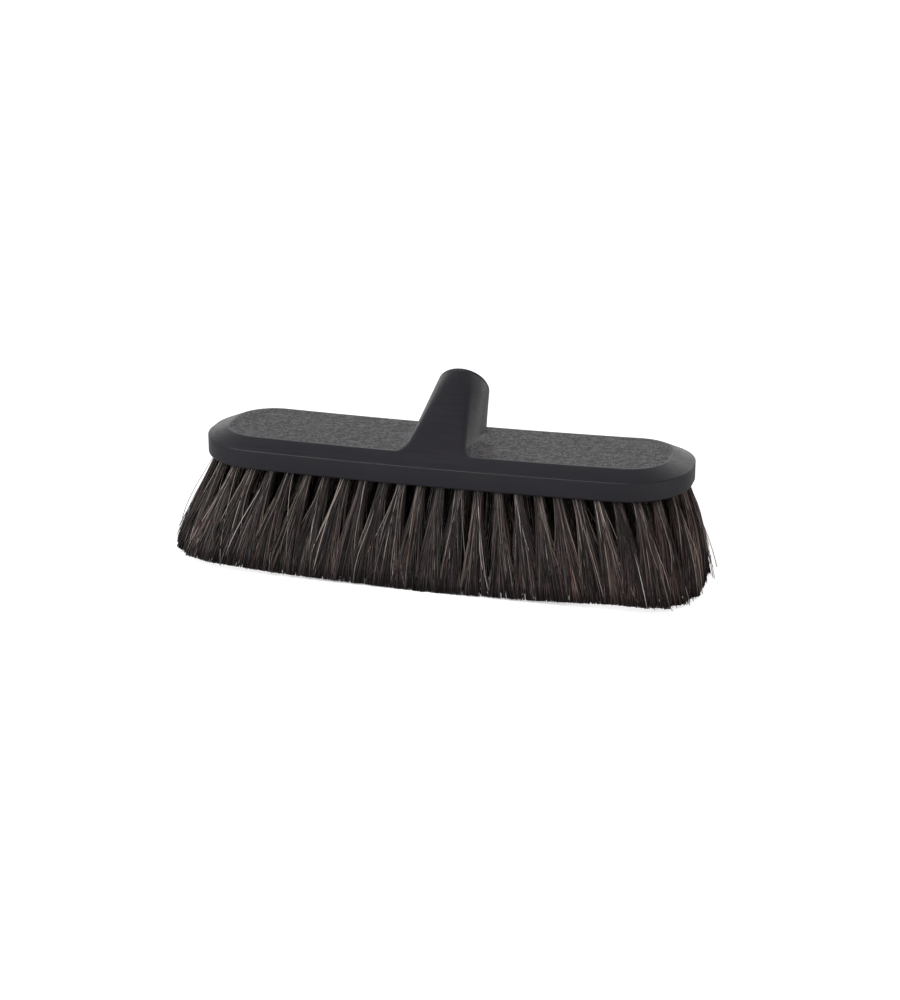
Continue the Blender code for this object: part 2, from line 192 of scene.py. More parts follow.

# Painted light and shade in a hair's colour, from root to tip: lighter in its middle, painted light
# at its root and on its lower part, painted shade at its tip, and in the right half painted shade
# at the root and more painted light below
BASE_LIGHT = 0.85
BELLY_PAINTED_LIGHT = 0.25
BELLY_PAINTED_LIGHT_SHARES = (0.3, 1)
ROOT_PAINTED_LIGHT = 0.12
ROOT_PAINTED_LIGHT_POWER = 3
RIGHT_ROOT_PAINTED_SHADE = 0.35
LOWER_PAINTED_LIGHT = 0.28
LOWER_PAINTED_LIGHT_POWER = 2
RIGHT_LOWER_PAINTED_LIGHT = 0.25
TIP_PAINTED_SHADE = 0.4
TIP_PAINTED_SHADE_POWER = 12

# How finely the forms are drawn, and how far a cutter runs past what it cuts
CORNER_STEPS = 24
SIDE_STEPS = 24
ROUND_STEPS = 5
FILLET_STEPS = 12
WALL_STEPS = 7
WALL_TOP_SHARE = 0.8
SOCKET_SIDES = 192
HOLE_SIDES = 18
HAIR_SIDES = 3
HAIR_SEGMENTS = 7
CUT_OVERRUN = 0.002
SHARP_ANGLE = math.radians(28)

# A hair in its cell of the UV map, as shares of the cell: its unrolled side, and its tip above that
UV_LEFT, UV_WIDTH = 0.1, 0.8
UV_BOTTOM, UV_HEIGHT = 0.05, 0.85
UV_TIP = ((0.9, 0.9), (0.5, 0.97), (0.1, 0.9))

# Seeds of the random draws
RIM_SEED = 1000
INNER_SEED = 2000

# Sizes and places that the ones above lead to
UNDERSIDE_Z = HAIR_REACH
SHOULDER_Z = UNDERSIDE_Z + SIDE_HEIGHT
TOP_Z = SHOULDER_Z + SHOULDER_HEIGHT
TOP_HALF_WIDTH = BLOCK_WIDTH / 2 - SHOULDER_RUN_AT_SIDE
TOP_HALF_LENGTH = BLOCK_LENGTH / 2 - SHOULDER_RUN_AT_END
RING_HALF_LENGTH = BLOCK_LENGTH / 2 - RIM_TUFT_MARGIN
RING_HALF_WIDTH = BLOCK_WIDTH / 2 - RIM_TUFT_MARGIN
RING_CORNER_RADIUS = BLOCK_CORNER_RADIUS - RIM_TUFT_MARGIN
FLARE_X = (BLOCK_LENGTH / 2 + TIP_FLARE_AT_END - RIM_OUTER_SPREAD) / RING_HALF_LENGTH
FLARE_Y = (BLOCK_WIDTH / 2 + TIP_FLARE_AT_SIDE - RIM_OUTER_SPREAD) / RING_HALF_WIDTH
SOCKET_RIM_RADIUS = BORE_MOUTH_RADIUS + SOCKET_WALL
SOCKET_RUN = SOCKET_RIM_SETBACK + TOP_HALF_WIDTH
SOCKET_TILT = (
    math.atan2(SOCKET_RIM_RISE, SOCKET_RUN)
    + math.asin(SOCKET_RIM_RADIUS / math.hypot(SOCKET_RIM_RISE, SOCKET_RUN))
)
SOCKET_AXIS = Vector((0, math.cos(SOCKET_TILT), math.sin(SOCKET_TILT)))
SOCKET_CROWN = Vector((0, -math.sin(SOCKET_TILT), math.cos(SOCKET_TILT)))
SOCKET_RIM_CENTRE = Vector((0, SOCKET_RIM_SETBACK, TOP_Z + SOCKET_RIM_RISE))

# The places of the block's two materials in its list
SMOOTH, GRAINED = 0, 1


def add_object(name, data):
    obj = bpy.data.objects.new(name, data)
    bpy.context.scene.collection.objects.link(obj)
    return obj


# ---------------------------------------------------------------- nodes

def new_material(name):
    material = bpy.data.materials.new(name)
    material.use_nodes = True
    return material, material.node_tree, material.node_tree.nodes["Principled BSDF"]


def add_node(tree, kind, **values):
    node = tree.nodes.new(kind)
    for key, value in values.items():
        setattr(node, key, value)
    return node


def feed(tree, value, socket):
    """Links another node's output to a socket, or gives the socket a fixed value."""
    if isinstance(value, bpy.types.NodeSocket):
        tree.links.new(value, socket)
    else:
        socket.default_value = value


def calculated(tree, operation, *values):
    node = add_node(tree, "ShaderNodeMath", operation=operation)
    for value, socket in zip(values, node.inputs):
        feed(tree, value, socket)
    return node.outputs[0]


def noise(tree, vector, scale, detail=2.0, roughness=0.5):
    node = add_node(tree, "ShaderNodeTexNoise")
    node.inputs["Scale"].default_value = scale
    node.inputs["Detail"].default_value = detail
    node.inputs["Roughness"].default_value = roughness
    tree.links.new(vector, node.inputs["Vector"])
    return node.outputs["Fac"]


def ranged(tree, value, span, to_span=(0, 1)):
    node = add_node(tree, "ShaderNodeMapRange", clamp=True)
    node.inputs["From Min"].default_value, node.inputs["From Max"].default_value = span
    node.inputs["To Min"].default_value, node.inputs["To Max"].default_value = to_span
    tree.links.new(value, node.inputs["Value"])
    return node.outputs["Result"]


def stretched(tree, scale):
    coordinates = add_node(tree, "ShaderNodeTexCoord")
    mapping = add_node(tree, "ShaderNodeMapping")
    mapping.inputs["Scale"].default_value = scale
    tree.links.new(coordinates.outputs["Object"], mapping.inputs["Vector"])
    return mapping.outputs["Vector"]


def split_coordinates(tree, output):
    coordinates = add_node(tree, "ShaderNodeTexCoord")
    split = add_node(tree, "ShaderNodeSeparateXYZ")
    tree.links.new(coordinates.outputs[output], split.inputs["Vector"])
    return split.outputs


def mixed_colour(tree, factor, first, second):
    node = add_node(tree, "ShaderNodeMix", data_type="RGBA")
    node.inputs["A"].default_value = first
    node.inputs["B"].default_value = second
    tree.links.new(factor, node.inputs["Factor"])
    return node.outputs["Result"]


def lit_or_seen(tree, lit, seen):
    """One level that lights the object, and another one that the camera sees."""
    path = add_node(tree, "ShaderNodeLightPath")
    node = add_node(tree, "ShaderNodeMix", data_type="FLOAT")
    tree.links.new(path.outputs["Is Camera Ray"], node.inputs["Factor"])
    feed(tree, lit, node.inputs["A"])
    feed(tree, seen, node.inputs["B"])
    return node.outputs["Result"]


def bumped(tree, shader, height, strength, distance, below=None):
    node = add_node(tree, "ShaderNodeBump")
    node.inputs["Strength"].default_value = strength
    node.inputs["Distance"].default_value = distance
    tree.links.new(height, node.inputs["Height"])
    if below is not None:
        tree.links.new(below, node.inputs["Normal"])
    tree.links.new(node.outputs["Normal"], shader.inputs["Normal"])
    return node.outputs["Normal"]


# ---------------------------------------------------------------- materials
# Noise scales are in cycles per metre.

SMOOTH_DARK = (0.0136, 0.0122, 0.0182, 1)
SMOOTH_LIGHT = (0.0174, 0.0150, 0.0211, 1)
SMOOTH_ROUGHNESS_RANGE = (0.36, 0.50)
CLOUD_SCALE, CLOUD_DETAIL = 45, 3
CLOUD_SPAN = (0.35, 0.65)
STREAK_SCALE, STREAK_DETAIL = 900, 2
STREAK_STRETCH = (0.05, 1, 1)
STREAK_SPAN = (0.3, 0.7)
STREAK_BUMP, STREAK_BUMP_DISTANCE = 0.12, 0.0001
FINE_SCALE, FINE_DETAIL = 1500, 2
FINE_BUMP, FINE_BUMP_DISTANCE = 0.25, 0.00008

GRAINED_DARK = (0.007, 0.0040, 0.0070, 1)
GRAINED_LIGHT = (0.036, 0.0285, 0.0355, 1)
GRAINED_ROUGHNESS_RANGE = (0.62, 0.44)
GRAINED_SPECULAR_LEVEL = 0.465
PEBBLE_SCALE, PEBBLE_DETAIL, PEBBLE_ROUGHNESS = 700, 4, 0.7
BLOTCH_SCALE, BLOTCH_DETAIL, BLOTCH_ROUGHNESS = 240, 3, 0.6
BLOTCH_GAIN, BLOTCH_OFFSET = 0.6, -0.3
GRAIN_SPAN = (0.38, 0.62)
PEBBLE_BUMP, PEBBLE_BUMP_DISTANCE = 1.0, 0.0006

HAIR_ROUGHNESS = 0.42


def smooth_plastic():
    material, tree, shader = new_material("satin_black_plastic")
    even = stretched(tree, (1, 1, 1))
    drawn = stretched(tree, STREAK_STRETCH)
    cloud = noise(tree, even, CLOUD_SCALE, CLOUD_DETAIL)
    tree.links.new(
        mixed_colour(tree, ranged(tree, cloud, CLOUD_SPAN), SMOOTH_DARK, SMOOTH_LIGHT),
        shader.inputs["Base Color"])
    streak = noise(tree, drawn, STREAK_SCALE, STREAK_DETAIL)
    tree.links.new(
        ranged(tree, streak, STREAK_SPAN, SMOOTH_ROUGHNESS_RANGE), shader.inputs["Roughness"])
    fine = noise(tree, even, FINE_SCALE, FINE_DETAIL)
    fine_bump = bumped(tree, shader, fine, FINE_BUMP, FINE_BUMP_DISTANCE)
    bumped(tree, shader, streak, STREAK_BUMP, STREAK_BUMP_DISTANCE, below=fine_bump)
    return material


def grained_plastic():
    material, tree, shader = new_material("grained_black_plastic")
    even = stretched(tree, (1, 1, 1))
    pebble = noise(tree, even, PEBBLE_SCALE, PEBBLE_DETAIL, PEBBLE_ROUGHNESS)
    blotch = noise(tree, even, BLOTCH_SCALE, BLOTCH_DETAIL, BLOTCH_ROUGHNESS)
    worn = calculated(tree, "MULTIPLY_ADD", blotch, BLOTCH_GAIN, BLOTCH_OFFSET)
    height = calculated(tree, "ADD", pebble, worn)
    tree.links.new(
        mixed_colour(tree, ranged(tree, height, GRAIN_SPAN), GRAINED_DARK, GRAINED_LIGHT),
        shader.inputs["Base Color"])
    tree.links.new(
        ranged(tree, height, GRAIN_SPAN, GRAINED_ROUGHNESS_RANGE), shader.inputs["Roughness"])
    shader.inputs["Specular IOR Level"].default_value = GRAINED_SPECULAR_LEVEL
    bumped(tree, shader, pebble, PEBBLE_BUMP, PEBBLE_BUMP_DISTANCE)
    return material


def hair_material():
    material, tree, shader = new_material("horsehair")
    # The colour attribute holds the hair's tones together with painted light and shade along each
    # hair
    attribute = add_node(tree, "ShaderNodeAttribute", attribute_name="hair_colour_and_painted_light")
    tree.links.new(attribute.outputs["Color"], shader.inputs["Base Color"])
    shader.inputs["Roughness"].default_value = HAIR_ROUGHNESS
    return material


# ---------------------------------------------------------------- block

def bow_z(x, z):
    """The height of a place once the block is bent up at both ends, while the tips stay."""
    held = np.clip(z / UNDERSIDE_Z, 0, 1)
    return z + END_RISE * held * (x / (BLOCK_LENGTH / 2)) ** 2


def bow(bm):
    for vertex in bm.verts:
        vertex.co.z = bow_z(vertex.co.x, vertex.co.z)


def circle_angles(sides):
    return [2 * math.pi * side / sides for side in range(sides)]


def oblong(half_length, half_width, corner_radius):
    """An outline with round corners, whose rear half and front half mirror each other."""
    radius = min(corner_radius, half_length, half_width)
    centre_x = half_length - radius
    centre_y = half_width - radius
    corner = [math.pi / 2 * step / CORNER_STEPS for step in range(CORNER_STEPS + 1)]
    near = [(centre_x + radius * math.cos(a), centre_y + radius * math.sin(a)) for a in corner]
    side = [(centre_x * (1 - 2 * step / SIDE_STEPS), half_width) for step in range(1, SIDE_STEPS)]
    far = [(-x, y) for x, y in reversed(near)]
    rear = near + side + far
    return rear + [(x, -y) for x, y in reversed(rear)]


def curve_between(start, corner, end):
    """Points of a quadratic curve that rounds off a corner between two (share, z) places."""
    points = []
    for step in range(ROUND_STEPS + 1):
        t = step / ROUND_STEPS
        a, b, c = (1 - t) ** 2, 2 * t * (1 - t), t ** 2
        points.append(tuple(a * p + b * q + c * r for p, q, r in zip(start, corner, end)))
    return points


def make_rings(bm, outlines):
    return [[bm.verts.new(point) for point in outline] for outline in outlines]


def join_rings(bm, lower, upper, material=SMOOTH):
    count = len(lower)
    for i in range(count):
        j = (i + 1) % count
        bm.faces.new((lower[i], lower[j], upper[j], upper[i])).material_index = material


def close_across(bm, ring, material=SMOOTH):
    """Closes an oblong ring with strips from its rear half to its front half."""
    last = len(ring) - 1
    for i in range(len(ring) // 2 - 1):
        face = bm.faces.new((ring[i], ring[i + 1], ring[last - i - 1], ring[last - i]))
        face.material_index = material


def close_ends(bm, rings):
    bm.faces.new(rings[0])
    bm.faces.new(rings[-1])


def object_of(name, bm, materials):
    bmesh.ops.recalc_face_normals(bm, faces=bm.faces)
    mesh = bpy.data.meshes.new(name)
    bm.to_mesh(mesh)
    bm.free()
    for material in materials:
        mesh.materials.append(material)
    return add_object(name, mesh)


def block_profile():
    """(share of the way from the outer outline to the top's outline, height), from foot to top."""
    run = SHOULDER_RUN_AT_SIDE
    slope = math.atan2(SHOULDER_HEIGHT, run)
    ridge_share = RIDGE_ROUND * math.cos(slope) / run
    edge_share = TOP_EDGE_ROUND * math.cos(slope) / run
    foot = curve_between(
        (FOOT_ROUND / run, UNDERSIDE_Z), (0, UNDERSIDE_Z), (0, UNDERSIDE_Z + FOOT_ROUND))
    ridge = curve_between(
        (0, SHOULDER_Z - RIDGE_ROUND), (0, SHOULDER_Z),
        (ridge_share, SHOULDER_Z + ridge_share * SHOULDER_HEIGHT))
    edge = curve_between(
        (1 - edge_share, TOP_Z - edge_share * SHOULDER_HEIGHT), (1, TOP_Z),
        (1 + TOP_EDGE_ROUND / run, TOP_Z))
    return foot + ridge + edge + [(1 + (TOP_EDGE_ROUND + TOP_BORDER) / run, TOP_Z)]


def block_body(materials):
    outer = oblong(BLOCK_LENGTH / 2, BLOCK_WIDTH / 2, BLOCK_CORNER_RADIUS)
    inner = oblong(TOP_HALF_LENGTH, TOP_HALF_WIDTH, TOP_CORNER_RADIUS)
    bm = bmesh.new()
    rings = make_rings(bm, [
        [
            (ox + share * (ix - ox), oy + share * (iy - oy), z)
            for (ox, oy), (ix, iy) in zip(outer, inner)
        ]
        for share, z in block_profile()
    ])
    for lower, upper in zip(rings, rings[1:]):
        join_rings(bm, lower, upper)
    close_across(bm, rings[0])
    close_across(bm, rings[-1], GRAINED)
    bow(bm)
    return object_of("moulded_block", bm, materials)


def power_curve(value, squareness):
    return math.copysign(abs(value) ** (2 / squareness), value)


def fillet_run(angle):
    """How far the fillet at the socket's foot spreads: most at the sides, least behind."""
    if math.sin(angle) <= 0:
        fade = max(0, 1 + math.sin(angle) / SIDE_FILLET_SHARE) ** 2
        return REAR_FILLET_RUN + (SIDE_FILLET_RUN - REAR_FILLET_RUN) * fade
    swing = abs(angle - math.pi / 2)
    back_share = max(0, (swing - CORNER_SWING) / (math.pi / 2 - CORNER_SWING))
    widening = SIDE_FILLET_RUN - FRONT_FILLET_RUN
    return FRONT_FILLET_RUN + widening * math.sin(back_share * math.pi / 2)


def socket_foot_point(angle, spread_share, z):
    """A point of the socket's foot outline: flat with tight corners in front, round behind."""
    spread = spread_share * fillet_run(angle)
    if math.sin(angle) <= 0:
        x = (SOCKET_FOOT_HALF_WIDTH + spread) * power_curve(math.cos(angle), REAR_SQUARENESS)
        y = -TOP_HALF_WIDTH * power_curve(math.sin(angle), REAR_SQUARENESS)
        return Vector((x, y, z))
    corner_y = SOCKET_FRONT_CORNER_RADIUS - TOP_HALF_WIDTH
    swing = abs(angle - math.pi / 2)
    if swing < CORNER_SWING:
        corner_x = SOCKET_FRONT_HALF_WIDTH + spread - SOCKET_FRONT_CORNER_RADIUS
        turn = math.pi / 2 * max(0, swing - FRONT_SWING) / (CORNER_SWING - FRONT_SWING)
        x = corner_x * min(1, swing / FRONT_SWING) + SOCKET_FRONT_CORNER_RADIUS * math.sin(turn)
        y = corner_y - SOCKET_FRONT_CORNER_RADIUS * math.cos(turn)
    else:
        back_share = (swing - CORNER_SWING) / (math.pi / 2 - CORNER_SWING)
        widening = SOCKET_FOOT_HALF_WIDTH - SOCKET_FRONT_HALF_WIDTH
        x = SOCKET_FRONT_HALF_WIDTH + widening * math.sin(back_share * math.pi / 2) + spread
        y = corner_y * (1 - back_share)
    return Vector((math.copysign(x, math.cos(angle)), y, z))


def socket_rim_point(angle, radius=SOCKET_RIM_RADIUS):
    across = Vector((math.cos(angle), 0, 0))
    return SOCKET_RIM_CENTRE + radius * (across + math.sin(angle) * SOCKET_CROWN)


def wall_outline(angles, height_share, spread_share):
    """The socket's outline at a share of the way from its foot to its rim."""
    return [
        socket_foot_point(a, spread_share, TOP_Z).lerp(socket_rim_point(a), height_share)
        for a in angles
    ]


def rim_outline(angles, back, inward):
    """The socket's outline at a distance back from its rim, drawn in towards the bore."""
    points = []
    for angle in angles:
        foot = socket_foot_point(angle, 0, TOP_Z)
        rim = socket_rim_point(angle)
        down = (foot - rim).normalized()
        to_centre = (SOCKET_RIM_CENTRE - rim).normalized()
        points.append(rim + back * down + inward * to_centre)
    return points


def socket_body(materials):
    angles = circle_angles(SOCKET_SIDES)
    crown = socket_rim_point(math.pi / 2)
    front_lean = (crown.y + TOP_HALF_WIDTH) / (crown.z - TOP_Z)
    sunk_outline = [socket_foot_point(a, 1, TOP_Z - SOCKET_SINK) for a in angles]
    for point in sunk_outline:
        point.y += SOCKET_SINK * front_lean * min(0, point.y / TOP_HALF_WIDTH)

    outlines = [sunk_outline]
    fillet_share = FILLET_HEIGHT / SOCKET_RIM_RISE
    for step in range(FILLET_STEPS + 1):
        turn = math.pi / 2 * step / FILLET_STEPS
        height_share = fillet_share * (1 - math.cos(turn))
        outlines.append(wall_outline(angles, height_share, 1 - math.sin(turn)))
    for height_share in np.linspace(fillet_share, WALL_TOP_SHARE, WALL_STEPS + 1)[1:]:
        outlines.append(wall_outline(angles, height_share, 0))
    for back, inward in RIM_LINE:
        outlines.append(rim_outline(angles, back, inward))
    for step in range(ROUND_STEPS + 1):
        turn = math.pi / 2 * step / ROUND_STEPS
        back = RIM_ROUND * (1 - math.sin(turn))
        outlines.append(rim_outline(angles, back, RIM_ROUND * (1 - math.cos(turn))))

    bm = bmesh.new()
    rings = make_rings(bm, outlines)
    for level, (lower, upper) in enumerate(zip(rings, rings[1:])):
        join_rings(bm, lower, upper, GRAINED if level <= GRAINED_FILLET_STEPS else SMOOTH)
    front_y = (FRONT_GRAIN_SHARE - 1) * TOP_HALF_WIDTH
    for face in bm.faces:
        centre = face.calc_center_median()
        if centre.y - front_lean * (centre.z - TOP_Z) < front_y:
            face.material_index = SMOOTH
    close_ends(bm, rings)
    return object_of("socket_body", bm, materials)


def bore_cutter(materials):
    profile = (
        (-BORE_DEPTH, BORE_END_RADIUS - BORE_END_CHAMFER),
        (-BORE_DEPTH + BORE_END_CHAMFER, BORE_END_RADIUS),
        (-BORE_MOUTH_CHAMFER, BORE_MOUTH_RADIUS),
        (CUT_OVERRUN, BORE_MOUTH_RADIUS + BORE_MOUTH_CHAMFER + CUT_OVERRUN),
    )
    bm = bmesh.new()
    rings = make_rings(bm, [
        [socket_rim_point(a, radius) + along * SOCKET_AXIS for a in circle_angles(SOCKET_SIDES)]
        for along, radius in profile
    ])
    for lower, upper in zip(rings, rings[1:]):
        join_rings(bm, lower, upper)
    close_ends(bm, rings)
    return object_of("bore_cutter", bm, materials)


def hole_cutter(places, materials):
    bm = bmesh.new()
    for place in places:
        rings = make_rings(bm, [
            [
                (place.x + HOLE_RADIUS * math.cos(a), place.y + HOLE_RADIUS * math.sin(a), z)
                for a in circle_angles(HOLE_SIDES)
            ]
            for z in (UNDERSIDE_Z - CUT_OVERRUN, UNDERSIDE_Z + HOLE_DEPTH)
        ])
        join_rings(bm, *rings)
        close_ends(bm, rings)
    bow(bm)
    return object_of("hole_cutter", bm, materials)


def make_block(rim, rows):
    materials = (smooth_plastic(), grained_plastic())
    block = block_body(materials)
    places = [place for place, _ in rim] + [place for _, row in rows for place in row]
    tools = (
        ("UNION", socket_body(materials)),
        ("DIFFERENCE", bore_cutter(materials)),
        ("DIFFERENCE", hole_cutter(places, materials)),
    )
    for operation, tool in tools:
        modifier = block.modifiers.new(tool.name, "BOOLEAN")
        modifier.operation = operation
        modifier.solver = "EXACT"
        modifier.object = tool
    bpy.context.view_layer.update()
    evaluated = block.evaluated_get(bpy.context.evaluated_depsgraph_get())
    mesh = bpy.data.meshes.new_from_object(evaluated)
    block.modifiers.clear()
    block.data = mesh
    for _, tool in tools:
        bpy.data.objects.remove(tool, do_unlink=True)
    mesh.shade_smooth()
    mesh.set_sharp_from_angle(angle=SHARP_ANGLE)
    bm = bmesh.new()
    bm.from_mesh(mesh)
    for edge in bm.edges:
        if len({face.material_index for face in edge.link_faces}) > 1:
            edge.smooth = False
    bm.to_mesh(mesh)
    bm.free()
    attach(block, "root")
    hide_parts("brush_block")


# ---------------------------------------------------------------- places of the tufts

def ring_places(count):
    """Evenly spaced places on the tuft ring, each with the direction of the ring there."""
    quarter = RING_CORNER_RADIUS * math.pi / 2
    straight_x = 2 * (RING_HALF_LENGTH - RING_CORNER_RADIUS)
    straight_y = 2 * (RING_HALF_WIDTH - RING_CORNER_RADIUS)
    perimeter = 2 * (straight_x + straight_y) + 4 * quarter
    corner_signs = ((1, 1), (-1, 1), (-1, -1), (1, -1))
    places = []
    for index in range(count):
        travelled = perimeter * (index + 0.5) / count - straight_y / 2
        travelled %= perimeter
        for corner, (sign_x, sign_y) in enumerate(corner_signs):
            centre = Vector((sign_x * straight_x / 2, sign_y * straight_y / 2))
            straight = straight_x if corner % 2 == 0 else straight_y
            turned = corner * math.pi / 2
            if travelled < quarter:
                angle = turned + travelled / RING_CORNER_RADIUS
                outward = Vector((math.cos(angle), math.sin(angle)))
                places.append((centre + RING_CORNER_RADIUS * outward, outward.orthogonal()))
                break
            travelled -= quarter
            if travelled < straight:
                angle = turned + math.pi / 2
                outward = Vector((math.cos(angle), math.sin(angle)))
                along = outward.orthogonal()
                places.append((centre + RING_CORNER_RADIUS * outward + travelled * along, along))
                break
            travelled -= straight
    return places


def inner_places():
    """For each inner row its name and the places of its tufts, which step from side to side."""
    rows = []
    pitch = 2 * RING_HALF_WIDTH / (len(INNER_ROWS) + 1)
    half_length = RING_HALF_LENGTH - INNER_ROW_END_MARGIN
    for row, (label, count) in enumerate(INNER_ROWS, start=1):
        y = row * pitch - RING_HALF_WIDTH
        places = []
        for index in range(count):
            x = half_length * ((2 * index + 1) / count - 1)
            places.append(Vector((x, y + INNER_ROW_STAGGER * (-1) ** (index + row))))
        rows.append((label, places))
    return rows


# ---------------------------------------------------------------- hair
# A hair's stations run from 0 at its root to 1 at its tip.

STATIONS = np.linspace(0, 1, HAIR_SEGMENTS + 1)


def gather_hairs(rng, along_x, right_share, count, reach_along, across_range, surface_count):
    """Each hair's root and tip, along and across its tuft, with its lock and its kind."""
    angle = rng.uniform(0, 2 * math.pi, count)
    reach = HAIR_ROOT_SPREAD * np.sqrt(rng.uniform(0, 1, count))
    root_along = reach * np.cos(angle)
    root_across = reach * np.sin(angle)

    lock_along = np.linspace(-1, 1, LOCKS) * reach_along + rng.normal(0, LOCK_SCATTER, LOCKS)
    lock_across = rng.uniform(*across_range, LOCKS)
    rank = np.argsort(np.argsort(root_along + rng.normal(0, LOCK_MIXING, count)))
    lock = (rank * LOCKS) // count
    tip_along = lock_along[lock] + rng.normal(0, LOCK_TIP_ALONG_SPREAD, count)
    tip_across = (
        lock_across[lock] + rng.normal(0, LOCK_TIP_ACROSS_SPREAD, count)
        + TIP_FOLLOWS_ROOT_SHARE * root_across)

    surface = np.arange(count) < surface_count
    surface_root = rng.uniform(*SURFACE_ROOT_SHARES, count) * HAIR_ROOT_SPREAD
    root_across = np.where(surface, surface_root, root_across)
    stray = surface | (rng.uniform(0, 1, count) < STRAY_SHARE)
    stray_lean = STRAY_LEAN * along_x * right_share
    tip_along += stray * rng.normal(stray_lean, STRAY_ALONG_SPREAD, count)
    stray_across = across_range[1] - rng.uniform(0, STRAY_DEPTH, count)
    tip_across = np.where(stray, stray_across, tip_across)
    root_across = np.where(stray & ~surface, STRAY_ROOT_SHARE * root_across, root_across)

    edge = np.zeros(count, bool)
    if surface_count:
        edge = rng.uniform(0, 1, count) < EDGE_HAIR_SHARE
        edge &= ~surface
        edge_across = across_range[1] - np.abs(rng.normal(0, EDGE_ACROSS_SPREAD, count))
        tip_across = np.where(edge, edge_across, tip_across)
        even = reach_along * (2 * (rank + 0.5) / count - 1)
        tip_along = np.where(edge, even + rng.normal(0, EDGE_ALONG_SPREAD, count), tip_along)
    tip_across = across_range[1] - np.abs(across_range[1] - tip_across)
    return SimpleNamespace(
        count=count, root=(root_along, root_across), tip=(tip_along, tip_across),
        lock=lock, surface=surface, stray=stray, edge=edge)


def tuft_line(place, end_share, right_share):
    """The line down the middle of a tuft, seen from above: outward, with a lean at the right."""
    bend_power = (
        BEND_POWER + BEND_POWER_BY_PLACE * end_share + BEND_POWER_BY_DISTANCE * end_share ** 2)
    flare = 1 - (1 - STATIONS) ** bend_power
    tip_centre = place * np.array((FLARE_X, FLARE_Y)) + np.array((HAIR_SWAY, 0))
    tip_centre[0] -= RIGHT_DRAW_IN * right_share ** 2
    line = place + flare[:, None] * (tip_centre - place)
    lean_share = max(0, (end_share - RIGHT_LEAN_START_SHARE) / (1 - RIGHT_LEAN_START_SHARE))
    line[:, 0] += RIGHT_LEAN * math.sin(math.pi * min(1, lean_share)) * STATIONS
    return line


def tip_rise(tip_x):
    """How far the tips at a place along the brush stay above the lowest ones in its middle."""
    return np.interp(tip_x, TIP_RISE_PLACES, TIP_RISES)


def hair_lines(rng, hairs, middle, along, outward):
    """The hairs' centre lines (count, stations, 3)."""
    spread = STATIONS ** SPREAD_POWER
    offsets = [
        root[:, None] + spread * (tip - root)[:, None] for root, tip in zip(hairs.root, hairs.tip)
    ]
    wave_share = np.stack((np.where(hairs.stray, STRAY_WAVE_FACTOR, 1), np.ones(hairs.count)))
    wave = rng.uniform(*WAVE_RANGE, (2, hairs.count)) * wave_share
    turns = rng.uniform(*WAVE_TURNS_RANGE, (2, hairs.count))
    phase = rng.uniform(0, 2 * math.pi, (2, hairs.count))
    for axis, offset in enumerate(offsets):
        bend = np.sin(math.pi * turns[axis][:, None] * STATIONS + phase[axis][:, None])
        bend -= np.sin(phase[axis])[:, None]
        offset += wave[axis][:, None] * bend * np.minimum(1, STATIONS * WAVE_GROWTH)
    off_along, off_across = offsets
    xy = middle[None] + off_along[:, :, None] * along + off_across[:, :, None] * outward

    short = rng.uniform(0, 1, hairs.count) < SHORT_HAIR_SHARE
    shorter = np.where(short, rng.uniform(*SHORT_HAIR_RANGE, hairs.count), 0)
    scatter = np.abs(rng.normal(0, TIP_SCATTER, hairs.count))
    tip_z = TIP_CLEARANCE + tip_rise(xy[:, -1, 0]) + scatter + shorter
    root_z = UNDERSIDE_Z + HAIR_ROOT_DEPTH
    z = root_z + (tip_z - root_z)[:, None] * STATIONS
    z = bow_z(xy[:, :, 0], z)
    return np.concatenate((xy, z[:, :, None]), axis=2)


